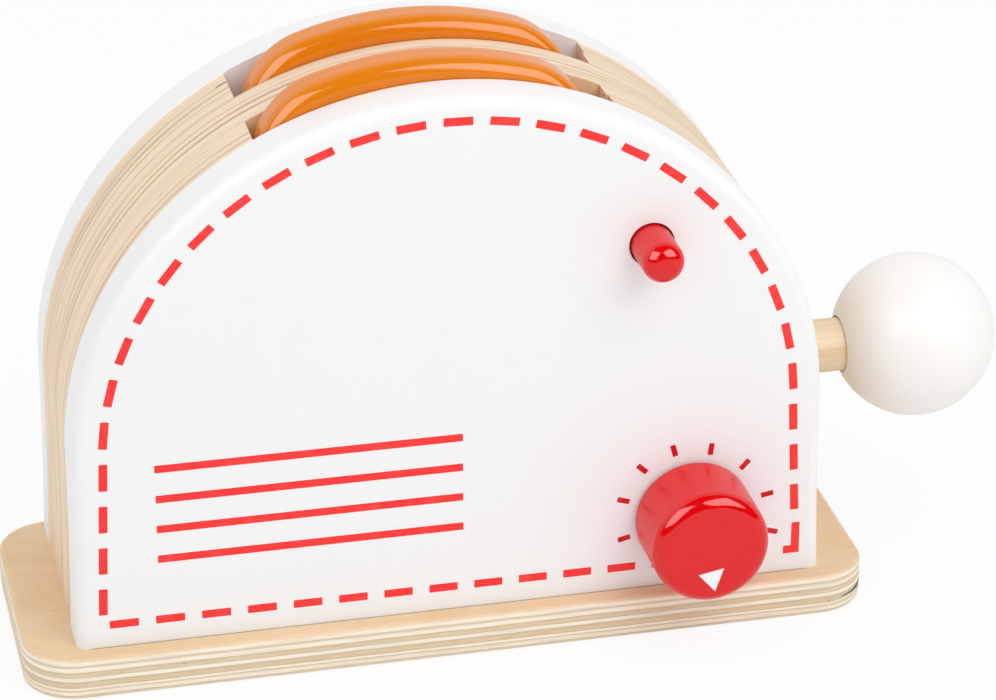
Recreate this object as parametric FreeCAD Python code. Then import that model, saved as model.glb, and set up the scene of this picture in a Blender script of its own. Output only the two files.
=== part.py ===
import FreeCAD, Part
import math
import os

# Toy toaster in painted and natural plywood, with two slices of toast, a dial, a push button and a ball lever.
# Millimetres. +X is the lever side, -Y the printed front, +Z up.
# The origin is on the underside of the base, below the middle of the core's depth.

V = FreeCAD.Vector

# Base plate
base_side_overhang = 13.2
base_thickness = 10.5
base_front_overhang = 5.0
base_rear_overhang = 0.6
base_corner_radius = 13.0
base_edge_round = 1.3
base_lower_round = 1.0

# D-shaped outline that the panels and the core share: sides that flare a little to the foot under an elliptical arch
body_width = 180.0
side_height = 47.0
arch_rise = 84.0
side_flare = 0.9          # how much further out each side stands at its foot

# Plywood thicknesses. Two sheets on each side of the divider give the depth of the slot there
front_sheet_thickness = 6.0
divider_thickness = 15.0
rear_sheet_thickness = 7.5
panel_thickness = 12.0
panel_edge_round = 2.8
core_inset = 0.4          # the core is sanded this far inside the panels' outline

# Toast slots, open at the top
slot_length = 83.9
slot_centre_x = -1.55
sheet_step = 0.7          # from one sheet's right end to that of the next sheet behind it
slot_floor_gap = 1.0      # from the lift rods down to the slot floor

# Slices of toast
toast_width = 80.4
toast_thickness = 11.2
toast_corner_radius = 21.0
toast_crown_radius = 84.0
toast_foot_radius = 5.0
toast_edge_round = 3.5
toast_side_gap = 0.4      # between a slice and the face in front of it
toast_proud = 4.8         # crown of a resting slice above the top of the arch
toast_front_x = -2.9
toast_rear_x = -1.1

# Lever: a dowel on a cross pin, with a ball outside the right-hand side
lever_height = 54.6
lever_dowel_dia = 13.2
lever_inner_end = 14.0    # how far the dowel runs past the middle of the lift block
lever_pivot_from_side = 22.0
lever_swing = 20.0        # degrees
lever_cavity_gap = 1.5    # around the dowel over its whole swing
ball_dia = 40.6
ball_from_side = 33.1     # from the side of the body to the middle of the ball
ball_rise = 0.8           # the ball is bored this far below its middle
ball_seat_depth = 11.5
ball_countersink = 0.5    # extra radius of the shallow seat around the dowel
ball_countersink_depth = 0.7
pivot_pin_dia = 4.0
pivot_pin_grip = 9.0      # length of the pin in the sheets at each end
pivot_clearance = 0.08
spacer_outer_dia = 9.0
spacer_gap = 0.1
rest_pad_length = 12.0
rest_pad_width = 14.0
rest_pad_gap = 0.1

# Lift: a block with a round nose on the dowel and two cross rods under the slices
lift_nose_radius = 6.0
lift_nose_gap = 0.3
lift_block_width = 30.0
lift_block_height = 14.0
lift_side_gap = 0.3
lift_face_gap = 0.4
lift_head_room = 0.9
lift_rod_dia = 8.0
lift_rod_spacing = 18.0
lift_rod_height = 6.0     # rod centres above the shoulder of the block
lift_rod_end_gap = 0.6
toast_rod_gap = 0.1

# Dial
dial_from_side = 31.8
dial_height = 29.1
dial_dia = 28.5
dial_depth = 19.0
dial_edge_round = 3.5
dial_felt_dia = 20.0
dial_felt_thickness = 0.8
dial_felt_gap = 0.1
dial_screw_dia = 4.0
dial_screw_grip = 14.0
dial_screw_head_dia = 8.4
dial_screw_head_height = 3.0
dial_screw_clearance = 0.09
dial_head_gap = 0.15
dial_washer_dia = 9.6
dial_washer_thickness = 1.0
dial_pocket_dia = 11.0
dial_pocket_depth = 6.0
pointer_radius = 3.75     # from the middle of the pointer's bed to a corner
pointer_drop = 7.14       # from the middle of the dial down to the middle of the bed
pointer_shift = 0.1       # and to the left
pointer_turn = 10.7       # degrees from straight down, towards the right
pointer_bed_depth = 0.15

# Push button
button_height = 101.0
button_dia = 10.0
button_protrusion = 13.4
button_tip_round = 3.6
button_hole_clearance = 0.5
button_pocket_depth = 8.4
button_collar_lip = 0.85  # beyond the shaft
button_collar_thickness = 2.4
button_collar_gap = 0.1
button_pocket_clearance = 0.25
button_tail = 2.0         # shaft beyond the collar, inside the spring
button_wall = 0.05        # least wood between the button pocket and the slot
spring_wire_dia = 0.6
spring_shaft_gap = 0.15
spring_turns = 3.5
spring_wire_sides = 12
spring_seat_gap = 0.1

# Assembly dowels through the core, blind in both panels
dowel_dia = 8.0
dowel_panel_depth = 7.0
dowel_inset = 18.0        # from the outline to the dowel's middle
dowel_lower_height = 13.5  # above the base plate
dowel_upper_angle = 24.0  # degrees up the arch from its springing line
dowel_end_gap = 0.5

# Countersunk screws up through the base
screw_dia = 3.5
screw_length = 30.0
screw_head_dia = 7.0
screw_head_height = 2.6
screw_sink = 0.5
screw_hole_gap = 0.25
screw_cross_length = 3.8
screw_cross_width = 0.9
screw_cross_depth = 1.5
screw_x = 34.0

# Places worked out from the sizes above
half_width = body_width / 2
base_half_width = half_width + base_side_overhang
body_bottom = base_thickness
arch_start = body_bottom + side_height
body_top = arch_start + arch_rise
core_face = front_sheet_thickness + divider_thickness / 2 + rear_sheet_thickness
divider_front = 2 * front_sheet_thickness - core_face
divider_rear = core_face - 2 * rear_sheet_thickness
divider_middle = (divider_front + divider_rear) / 2
outer_face = core_face + panel_thickness

lever_radius = lever_dowel_dia / 2
lever_pivot_x = half_width - lever_pivot_from_side
ball_x = half_width + ball_from_side
ball_radius = ball_dia / 2
lever_outer_end = ball_x - ball_radius + ball_seat_depth

lift_nose_bottom = lever_height + lever_radius + lift_nose_gap
lift_shoulder = lift_nose_bottom + lift_nose_radius
lift_block_top = lift_shoulder + lift_block_height
lift_rod_z = lift_shoulder + lift_rod_height
swing = math.radians(lever_swing)
lift_travel = lever_pivot_x * math.tan(swing) + (lever_radius + lift_nose_radius) * (1 / math.cos(swing) - 1)
lift_channel_half = lift_block_width / 2 + lift_side_gap
lift_channel_top = lift_block_top + lift_travel + lift_head_room

slot_left = slot_centre_x - slot_length / 2
slot_right = slot_centre_x + slot_length / 2
slot_floor = lift_rod_z - lift_rod_dia / 2 - slot_floor_gap
toast_bottom = lift_rod_z + lift_rod_dia / 2 + toast_rod_gap
toast_top = body_top + toast_proud

dial_x = half_width - dial_from_side
button_collar_radius = button_dia / 2 + button_collar_lip
button_pocket_radius = button_collar_radius + button_pocket_clearance
button_x = slot_right + sheet_step + button_wall + button_pocket_radius


def box(x, y, z):
    """Block between pairs of limits."""
    return Part.makeBox(x[1] - x[0], y[1] - y[0], z[1] - z[0], V(x[0], y[0], z[0]))


def cylinder_x(radius, x, y, z):
    return Part.makeCylinder(radius, x[1] - x[0], V(x[0], y, z), V(1, 0, 0))


def cylinder_y(radius, x, y, z):
    return Part.makeCylinder(radius, y[1] - y[0], V(x, y[0], z), V(0, 1, 0))


def cylinder_z(radius, x, y, z):
    return Part.makeCylinder(radius, z[1] - z[0], V(x, y, z[0]))


def prism(edges, y):
    """Solid between two depths from edges drawn in the XZ plane."""
    wire = Part.Wire(Part.__sortEdges__(edges))
    return Part.Face(wire).translated(V(0, y[0], 0)).extrude(V(0, y[1] - y[0], 0))


def polygon(points, y):
    """Solid between two depths from corner points (x, z)."""
    corners = [V(x, 0, z) for x, z in points]
    edges = [Part.makeLine(a, b) for a, b in zip(corners, corners[1:] + corners[:1])]
    return prism(edges, y)


def arch_edge(half, rise):
    """Half ellipse from one springing point over the crown to the other."""
    centre = V(0, 0, arch_start)
    crown = V(0, 0, arch_start + rise)
    if half >= rise:
        ellipse = Part.Ellipse(V(half, 0, arch_start), crown, centre)
        return Part.Arc(ellipse, 0, math.pi).toShape()
    ellipse = Part.Ellipse(crown, V(-half, 0, arch_start), centre)
    return Part.Arc(ellipse, -math.pi / 2, math.pi / 2).toShape()


def d_board(y, inset=0.0):
    """Board of the body's D-shaped outline between two depths, or of one that lies a little inside it."""
    half = half_width - inset
    foot = half + side_flare
    sweep = (side_height ** 2 + side_flare ** 2) / (2 * side_flare)
    middle = half + sweep - math.sqrt(sweep ** 2 - side_height ** 2 / 4)
    middle_height = body_bottom + side_height / 2
    edges = [Part.makeLine(V(-foot, 0, body_bottom), V(foot, 0, body_bottom)), arch_edge(half, arch_rise - inset)]
    for side in (-1, 1):
        points = V(side * foot, 0, body_bottom), V(side * middle, 0, middle_height), V(side * half, 0, arch_start)
        edges.append(Part.Arc(*points).toShape())
    return prism(edges, y)


def round_outline(board, face_y):
    """Rounds the sides and the arch of a panel where they meet its outer face."""
    edges = []
    for edge in board.Edges:
        bounds = edge.BoundBox
        on_face = abs(bounds.YMin - face_y) < 0.01 and abs(bounds.YMax - face_y) < 0.01
        if on_face and bounds.ZMax > body_bottom + 0.01:
            edges.append(edge)
    return board.makeFillet(panel_edge_round, edges)


def assembly_dowel_places():
    """Two dowels low down, two part of the way up the arch, all inset from the outline."""
    places = []
    angle = math.radians(dowel_upper_angle)
    arch_x = half_width * math.cos(angle)
    arch_z = arch_rise * math.sin(angle)
    normal = V(math.cos(angle) / half_width, 0, math.sin(angle) / arch_rise).normalize()
    for side in (-1, 1):
        places.append((side * (half_width - dowel_inset), body_bottom + dowel_lower_height))
        upper_x = arch_x - dowel_inset * normal.x
        places.append((side * upper_x, arch_start + arch_z - dowel_inset * normal.z))
    return places


def cut_dowel_holes(board):
    reach = core_face + dowel_panel_depth
    for x, z in assembly_dowel_places():
        board = board.cut(cylinder_y(dowel_dia / 2, x, (-reach, reach), z))
    return board


def screw_places():
    """Two screws each into the front panel, the divider and the back panel."""
    panel_middle = core_face + panel_thickness / 2
    return [(x, y) for y in (-panel_middle, divider_middle, panel_middle) for x in (-screw_x, screw_x)]


def base_screw(x, y):
    shank = cylinder_z(screw_dia / 2, x, y, (screw_sink, screw_length - screw_dia))
    tip = Part.makeCone(screw_dia / 2, 0.3, screw_dia, V(x, y, screw_length - screw_dia))
    head = Part.makeCone(screw_head_dia / 2, screw_dia / 2, screw_head_height, V(x, y, screw_sink))
    return shank.fuse([tip, head]).removeSplitter()


def screw_cross(x, y):
    """Cross recess in a screw's head."""
    half = screw_cross_length / 2
    wing = screw_cross_width / 2
    z = (screw_sink - 1, screw_sink + screw_cross_depth)
    return box((x - half, x + half), (y - wing, y + wing), z).fuse(box((x - wing, x + wing), (y - half, y + half), z))


def cut_screw_holes(board):
    for x, y in screw_places():
        board = board.cut(base_screw(x, y))
    return board


def base_plate():
    y = (-outer_face - base_front_overhang, outer_face + base_rear_overhang)
    plate = box((-base_half_width, base_half_width), y, (0, base_thickness))
    upright = [e for e in plate.Edges if e.BoundBox.ZLength > base_thickness - 0.01]
    plate = plate.makeFillet(base_corner_radius, upright)
    rim = [e for e in plate.Edges if e.BoundBox.ZMin > base_thickness - 0.01]
    plate = plate.makeFillet(base_edge_round, rim)
    lower_rim = [e for e in plate.Edges if e.BoundBox.ZMax < 0.01]
    plate = plate.makeFillet(base_lower_round, lower_rim)
    for x, y in screw_places():
        plate = plate.cut(cylinder_z(screw_dia / 2 + screw_hole_gap, x, y, (-1, base_thickness + 1)))
        head_radius = screw_head_dia / 2
        sink_height = screw_head_height + screw_hole_gap
        plate = plate.cut(cylinder_z(head_radius, x, y, (-1, screw_sink)))
        cone = Part.makeCone(head_radius, screw_dia / 2 + screw_hole_gap, sink_height, V(x, y, screw_sink))
        plate = plate.cut(cone)
    return plate


def front_panel():
    panel = round_outline(d_board((-outer_face, -core_face)), -outer_face)
    through = (-outer_face - 1, -core_face + 1)
    hole_radius = dial_screw_dia / 2 + dial_screw_clearance
    panel = panel.cut(cylinder_y(hole_radius, dial_x, through, dial_height))
    dial_pocket = (-core_face - dial_pocket_depth, -core_face + 1)
    panel = panel.cut(cylinder_y(dial_pocket_dia / 2, dial_x, dial_pocket, dial_height))
    button_radius = button_dia / 2 + button_hole_clearance
    panel = panel.cut(cylinder_y(button_radius, button_x, through, button_height))
    button_pocket = (-core_face - button_pocket_depth, -core_face + 1)
    panel = panel.cut(cylinder_y(button_pocket_radius, button_x, button_pocket, button_height))
    return cut_screw_holes(cut_dowel_holes(panel))


def back_panel():
    panel = round_outline(d_board((core_face, outer_face)), outer_face)
    return cut_screw_holes(cut_dowel_holes(panel))


def lever_cavity(y):
    """Room for the dowel over its whole swing, open at the right-hand side."""
    reach = lever_radius + lever_cavity_gap
    slope = math.tan(swing)
    slant = reach / math.cos(swing)
    corner = reach * math.tan(swing / 2)
    left = -lift_channel_half
    right = half_width + 1
    return polygon([
        (left, lever_height - reach),
        (lever_pivot_x - corner, lever_height - reach),
        (right, lever_height - (right - lever_pivot_x) * slope - slant),
        (right, lever_height + reach),
        (lever_pivot_x + corner, lever_height + reach),
        (left, lever_height + (lever_pivot_x - left) * slope + slant),
    ], y)


def divider():
    through = (divider_front - 1, divider_rear + 1)
    board = d_board((divider_front, divider_rear), core_inset)
    board = board.cut(lever_cavity(through))
    channel_floor = lever_height - lever_radius - lever_cavity_gap
    channel = box((-lift_channel_half, lift_channel_half), through, (channel_floor, lift_channel_top))
    board = board.cut(channel)
    return cut_screw_holes(cut_dowel_holes(board))


def slot_sheet(y, right_end):
    """U-shaped sheet beside the divider, with the toast slot open at its top."""
    sheet = d_board(y, core_inset)
    through = (y[0] - 1, y[1] + 1)
    sheet = sheet.cut(box((slot_left, right_end), through, (slot_floor, body_top + 1)))
    return cut_dowel_holes(sheet.cut(lever_pin()))


def toast(centre_x, y):
    """Slice of bread: low crown between round top corners, small round corners at the foot."""
    half = toast_width / 2
    corner_x = half - toast_corner_radius
    reach = toast_crown_radius - toast_corner_radius
    drop = math.sqrt(reach ** 2 - corner_x ** 2)
    corner_z = toast_top - toast_crown_radius + drop
    crown_z = corner_z - drop
    stretch = toast_crown_radius / reach
    tangent = V(corner_x * stretch, 0, crown_z + drop * stretch)
    side_top = V(half, 0, corner_z)
    bisector = (V(1, 0, 0) + V(corner_x, 0, drop).normalize()).normalize()
    corner_middle = V(corner_x, 0, corner_z) + bisector * toast_corner_radius
    side_foot = V(half, 0, toast_bottom + toast_foot_radius)
    foot_end = V(half - toast_foot_radius, 0, toast_bottom)
    diagonal = toast_foot_radius * (1 - math.sqrt(0.5))
    foot_middle = V(half - diagonal, 0, toast_bottom + diagonal)

    def mirrored(point):
        return V(-point.x, 0, point.z)

    edges = [
        Part.makeLine(mirrored(foot_end), foot_end),
        Part.Arc(mirrored(tangent), V(0, 0, toast_top), tangent).toShape(),
    ]
    for flip in (lambda point: point, mirrored):
        edges.append(Part.Arc(flip(foot_end), flip(foot_middle), flip(side_foot)).toShape())
        edges.append(Part.makeLine(flip(side_foot), flip(side_top)))
        edges.append(Part.Arc(flip(side_top), flip(corner_middle), flip(tangent)).toShape())
    slice_ = prism(edges, y)
    rim = [e for e in slice_.Edges if e.BoundBox.YLength < 0.01]
    return slice_.makeFillet(toast_edge_round, rim).translated(V(centre_x, 0, 0))


def toast_depths(slot_front):
    """Depth limits of a slice that stands at the front of its slot."""
    front = slot_front + toast_side_gap
    return (front, front + toast_thickness)


def lever_dowel():
    dowel = cylinder_x(lever_radius, (-lever_inner_end, lever_outer_end), divider_middle, lever_height)
    ends = [e for e in dowel.Edges if e.BoundBox.XLength < 0.01]
    dowel = dowel.makeChamfer(0.8, ends)
    through = (divider_front, divider_rear)
    return dowel.cut(cylinder_y(pivot_pin_dia / 2 + pivot_clearance, lever_pivot_x, through, lever_height))


def lever_ball():
    ball = Part.makeSphere(ball_radius, V(ball_x, divider_middle, lever_height + ball_rise))
    mouth = ball_x - ball_radius
    ball = ball.cut(cylinder_x(lever_radius, (mouth - 1, lever_outer_end), divider_middle, lever_height))
    # the sphere meets the seat at this distance behind its pole
    seat_radius = lever_radius + ball_countersink
    sagitta = ball_radius - math.sqrt(ball_radius ** 2 - seat_radius ** 2)
    seat = (mouth - 1, mouth + sagitta + ball_countersink_depth)
    return ball.cut(cylinder_x(seat_radius, seat, divider_middle, lever_height))


def lever_pin():
    y = (divider_front - pivot_pin_grip, divider_rear + pivot_pin_grip)
    return cylinder_y(pivot_pin_dia / 2, lever_pivot_x, y, lever_height)


def lever_spacers():
    """A ring on the pin at each side of the dowel."""
    rings = []
    near = lever_radius + spacer_gap
    far = divider_thickness / 2 - spacer_gap
    for limits in ((divider_middle - far, divider_middle - near), (divider_middle + near, divider_middle + far)):
        ring = cylinder_y(spacer_outer_dia / 2, lever_pivot_x, limits, lever_height)
        bore = cylinder_y(pivot_pin_dia / 2 + pivot_clearance, lever_pivot_x, limits, lever_height)
        rings.append(ring.cut(bore))
    return Part.makeCompound(rings)


def lever_rest_pad():
    bottom = lever_height - lever_radius - lever_cavity_gap
    top = lever_height - lever_radius - rest_pad_gap
    x = (-lever_inner_end, -lever_inner_end + rest_pad_length)
    y = (divider_middle - rest_pad_width / 2, divider_middle + rest_pad_width / 2)
    return box(x, y, (bottom, top))


def lift_rod_places():
    return (-lift_rod_spacing / 2, lift_rod_spacing / 2)


def lift_block():
    y = (divider_front + lift_face_gap, divider_rear - lift_face_gap)
    half = lift_block_width / 2
    block = box((-half, half), y, (lift_shoulder, lift_block_top))
    upright = [e for e in block.Edges if e.BoundBox.YLength > 1 and e.BoundBox.ZLength < 0.01]
    block = block.makeFillet(1.5, upright)
    block = block.fuse(cylinder_y(lift_nose_radius, 0, y, lift_shoulder)).removeSplitter()
    for x in lift_rod_places():
        block = block.cut(cylinder_y(lift_rod_dia / 2, x, (y[0] - 1, y[1] + 1), lift_rod_z))
    return block


def lift_rod(x):
    reach = core_face - lift_rod_end_gap
    rod = cylinder_y(lift_rod_dia / 2, x, (-reach, reach), lift_rod_z)
    ends = [e for e in rod.Edges if e.BoundBox.YLength < 0.01]
    return rod.makeChamfer(0.6, ends)


def dial_back():
    """Depth of the knob's flat back, in front of its felt."""
    return -outer_face - dial_felt_thickness - dial_felt_gap


def pointer_bed(face_y):
    """Shallow three-cornered bed for the painted pointer."""
    corners = []
    for turn in (0, 120, 240):
        angle = math.radians(pointer_turn - 90 + turn)
        x = dial_x - pointer_shift + pointer_radius * math.cos(angle)
        corners.append((x, dial_height - pointer_drop + pointer_radius * math.sin(angle)))
    return polygon(corners, (face_y - 1, face_y + pointer_bed_depth))


def dial_knob():
    y = (dial_back() - dial_depth, dial_back())
    knob = cylinder_y(dial_dia / 2, dial_x, y, dial_height)
    rims = [e for e in knob.Edges if abs(e.BoundBox.YMax - y[0]) < 0.01]
    knob = knob.makeFillet(dial_edge_round, rims)
    back_rim = [e for e in knob.Edges if abs(e.BoundBox.YMin - y[1]) < 0.01]
    knob = knob.makeFillet(0.6, back_rim).cut(pointer_bed(y[0]))
    return knob.cut(cylinder_y(dial_screw_dia / 2, dial_x, (y[1] - dial_screw_grip, y[1] + 1), dial_height))


def dial_shoulder():
    """Depth of the bottom of the pocket behind the panel."""
    return -core_face - dial_pocket_depth


def dial_felt():
    y = (-outer_face - dial_felt_thickness, -outer_face)
    felt = cylinder_y(dial_felt_dia / 2, dial_x, y, dial_height)
    return felt.cut(cylinder_y(dial_screw_dia / 2 + 0.3, dial_x, y, dial_height))


def dial_washer():
    y = (dial_shoulder(), dial_shoulder() + dial_washer_thickness)
    washer = cylinder_y(dial_washer_dia / 2, dial_x, y, dial_height)
    bore_radius = dial_screw_dia / 2 + dial_screw_clearance
    return washer.cut(cylinder_y(bore_radius, dial_x, y, dial_height))


def dial_screw():
    head_front = dial_shoulder() + dial_washer_thickness + dial_head_gap
    head = cylinder_y(dial_screw_head_dia / 2, dial_x, (head_front, head_front + dial_screw_head_height), dial_height)
    top_rim = [e for e in head.Edges if abs(e.BoundBox.YMin - head_front - dial_screw_head_height) < 0.01]
    head = head.makeFillet(1.0, top_rim)
    shank = cylinder_y(dial_screw_dia / 2, dial_x, (dial_back() - dial_screw_grip, head_front), dial_height)
    return head.fuse(shank).removeSplitter()


def button_shoulder():
    """Depth where the collar stops the button from coming out."""
    return -core_face - button_pocket_depth + button_collar_gap


def push_button():
    tail_end = button_shoulder() + button_collar_thickness + button_tail
    y = (-outer_face - button_protrusion, tail_end)
    shaft = cylinder_y(button_dia / 2, button_x, y, button_height)
    tip = [e for e in shaft.Edges if abs(e.BoundBox.YMax - y[0]) < 0.01]
    return shaft.makeFillet(button_tip_round, tip)


def button_collar():
    y = (button_shoulder(), button_shoulder() + button_collar_thickness)
    collar = cylinder_y(button_collar_radius, button_x, y, button_height)
    return collar.cut(cylinder_y(button_dia / 2, button_x, y, button_height))


def button_spring():
    """Open coil between the collar and the core."""
    start = button_shoulder() + button_collar_thickness + spring_seat_gap
    length = -core_face - spring_seat_gap - start
    height = length - spring_wire_dia
    pitch = height / spring_turns
    mean_radius = button_dia / 2 + spring_shaft_gap + spring_wire_dia / 2
    helix = Part.makeHelix(pitch, height, mean_radius)
    turns = [2 * math.pi * k / spring_wire_sides for k in range(spring_wire_sides + 1)]
    wire_radius = spring_wire_dia / 2
    corners = [V(mean_radius + wire_radius * math.cos(t), 0, wire_radius * math.sin(t)) for t in turns[:-1]]
    section = Part.makePolygon(corners + corners[:1])
    coil = Part.Wire(helix.Edges).makePipeShell([section], True, True)
    coil.rotate(V(0, 0, 0), V(1, 0, 0), -90)
    return coil.translated(V(button_x, start + spring_wire_dia / 2, button_height))


def assembly_dowels():
    reach = core_face + dowel_panel_depth - dowel_end_gap
    pegs = []
    for x, z in assembly_dowel_places():
        peg = cylinder_y(dowel_dia / 2, x, (-reach, reach), z)
        pegs.append(peg.makeChamfer(0.8, [e for e in peg.Edges if e.BoundBox.YLength < 0.01]))
    return Part.makeCompound(pegs)


def base_screws():
    return Part.makeCompound([base_screw(x, y).cut(screw_cross(x, y)) for x, y in screw_places()])


rod_left_x, rod_right_x = lift_rod_places()
nodes = {
    "base_plate": base_plate(),
    "front_panel": front_panel(),
    "back_panel": back_panel(),
    "divider": divider(),
    "front_inner_sheet": slot_sheet((divider_front - front_sheet_thickness, divider_front), slot_right),
    "front_outer_sheet": slot_sheet((-core_face, divider_front - front_sheet_thickness), slot_right + sheet_step),
    "rear_inner_sheet": slot_sheet((divider_rear, divider_rear + rear_sheet_thickness), slot_right + 2 * sheet_step),
    "rear_outer_sheet": slot_sheet((divider_rear + rear_sheet_thickness, core_face), slot_right + 3 * sheet_step),
    "toast_front": toast(toast_front_x, toast_depths(-core_face)),
    "toast_rear": toast(toast_rear_x, toast_depths(divider_rear)),
    "lever_dowel": lever_dowel(),
    "lever_ball": lever_ball(),
    "lever_pin": lever_pin(),
    "lever_spacers": lever_spacers(),
    "lever_rest_pad": lever_rest_pad(),
    "lift_block": lift_block(),
    "lift_rod_left": lift_rod(rod_left_x),
    "lift_rod_right": lift_rod(rod_right_x),
    "dial_knob": dial_knob(),
    "dial_felt": dial_felt(),
    "dial_washer": dial_washer(),
    "dial_screw": dial_screw(),
    "push_button": push_button(),
    "button_collar": button_collar(),
    "button_spring": button_spring(),
    "assembly_dowels": assembly_dowels(),
    "base_screws": base_screws(),
}

os.makedirs("parts", exist_ok=True)
for name, shape in nodes.items():
    shape.exportStep("parts/" + name + ".step")
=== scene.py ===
"""A wooden toy toaster: its finishes, its printed marks, its button spring and the stage it stands on."""

import math

import bmesh
import bpy
from mathutils import Euler, Matrix, Vector


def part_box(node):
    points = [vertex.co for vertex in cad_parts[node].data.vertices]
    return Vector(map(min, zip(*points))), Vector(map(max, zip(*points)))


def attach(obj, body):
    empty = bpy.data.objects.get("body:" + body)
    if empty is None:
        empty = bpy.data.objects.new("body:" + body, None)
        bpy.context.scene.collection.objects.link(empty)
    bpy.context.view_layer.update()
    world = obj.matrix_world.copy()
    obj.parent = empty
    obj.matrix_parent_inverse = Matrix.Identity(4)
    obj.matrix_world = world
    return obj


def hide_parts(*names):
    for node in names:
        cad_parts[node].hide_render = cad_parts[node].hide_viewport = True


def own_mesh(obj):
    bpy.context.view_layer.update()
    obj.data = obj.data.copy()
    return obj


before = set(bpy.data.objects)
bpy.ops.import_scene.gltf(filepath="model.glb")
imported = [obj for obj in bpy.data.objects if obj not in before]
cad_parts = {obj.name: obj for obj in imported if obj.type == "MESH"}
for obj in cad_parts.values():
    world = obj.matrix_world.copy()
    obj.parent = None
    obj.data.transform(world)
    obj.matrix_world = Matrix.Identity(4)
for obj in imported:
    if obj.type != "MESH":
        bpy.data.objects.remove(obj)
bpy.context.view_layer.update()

bl_info = {
    "name": "Toy Toaster",
    "version": (1, 0, 0),
    "blender": (4, 5, 0),
    "location": "View3D > Sidebar > Toaster",
    "description": "Finishes a wooden toy toaster and sets it on a studio floor",
    "category": "Object",
}

MM = 0.001
finishes = {}
SIGHT = ("Is Camera Ray", "Is Glossy Ray", "Is Transmission Ray")

# In millimetres: the flaws of the wood, and the heights of the glue lines along the base's edge
POCKET_MIDDLE = (90.2, -25, 3.6)
CRACK_PLACE = (-44.9, 16.6)
GLUE_LINES = (0.95, 2.25, 3.15, 4.6, 5.8, 7.1, 8.65)
CORE_BOARDS = ("divider", "front_inner_sheet", "front_outer_sheet", "rear_inner_sheet", "rear_outer_sheet")


# Settings -----------------------------------------------------------------------------------------


def shade(red, green, blue):
    """A colour as a paint card gives it, 0 to 255, as the linear values that Blender keeps."""
    parts = (value / 255 for value in (red, green, blue))
    return tuple(part / 12.92 if part <= 0.04045 else ((part + 0.055) / 1.055) ** 2.4 for part in parts)


def length(name, description, default):
    return bpy.props.FloatProperty(
        name=name, description=description, default=default * MM, precision=5, unit="LENGTH"
    )


def angle(name, description, default):
    return bpy.props.FloatProperty(
        name=name, description=description, default=math.radians(default), unit="ROTATION"
    )


def each_tick(name, description, default):
    turns = [math.radians(turn) for turn in default]
    return bpy.props.FloatVectorProperty(
        name=name, description=description, size=len(turns), default=turns, unit="ROTATION"
    )


def count(name, description, default):
    return bpy.props.IntProperty(name=name, description=description, default=default, min=1)


def share(name, description, default):
    return bpy.props.FloatProperty(
        name=name, description=description, default=default, min=0, subtype="FACTOR"
    )


def colour(name, description, *default):
    return bpy.props.FloatVectorProperty(
        name=name, description=description, default=shade(*default), size=3, min=0, max=1, subtype="COLOR"
    )


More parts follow.
